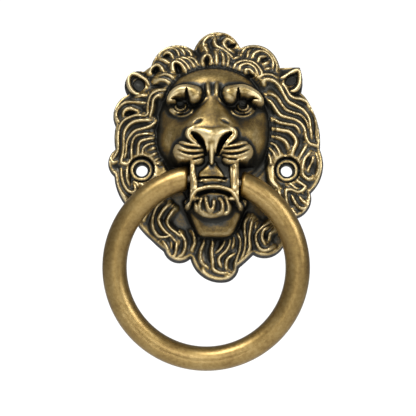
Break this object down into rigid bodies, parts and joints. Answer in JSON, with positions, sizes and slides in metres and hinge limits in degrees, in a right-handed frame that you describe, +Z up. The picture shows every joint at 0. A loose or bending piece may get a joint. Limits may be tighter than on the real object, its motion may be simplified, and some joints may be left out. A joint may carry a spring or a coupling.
{
  "type": "door knocker",
  "caption": "Lion-mask door knocker: a cast lion's head with a hinged ring in its mouth and a screw hole at each side.",
  "frame": {"origin": "midpoint between the two screw holes, on the flat back face that meets the door", "axes": "+Z up the door, -Y out of the door towards the visitor, +X to the right as the visitor sees it"},
  "size_m": [0.0935, 0.0345, 0.1453],
  "materials": {
    "mask_metal": "antique brass plating on cast zinc, dark patina in the recesses",
    "ring_metal": "satin antique brass plating on cast zinc",
    "pin_metal": "plain drawn steel"
  },
  "bodies": {
    "mask": {"lion_mask": "mask_metal"},
    "pin": {"hinge_pin": "pin_metal"},
    "ring": {"knocker_ring": "ring_metal"}
  },
  "joints": [
    {"name": "pin_rock", "type": "hinge", "parent": "mask", "child": "pin", "pos_m": [0, -0.017, -0.006], "axis": [0, -1, 0], "range_deg": [0, 10.8]},
    {"name": "ring_swing", "type": "hinge", "parent": "pin", "child": "ring", "pos_m": [0, -0.017, -0.006], "axis": [-0.9956, 0, 0.0941], "range_deg": [0, 95]}
  ]
}
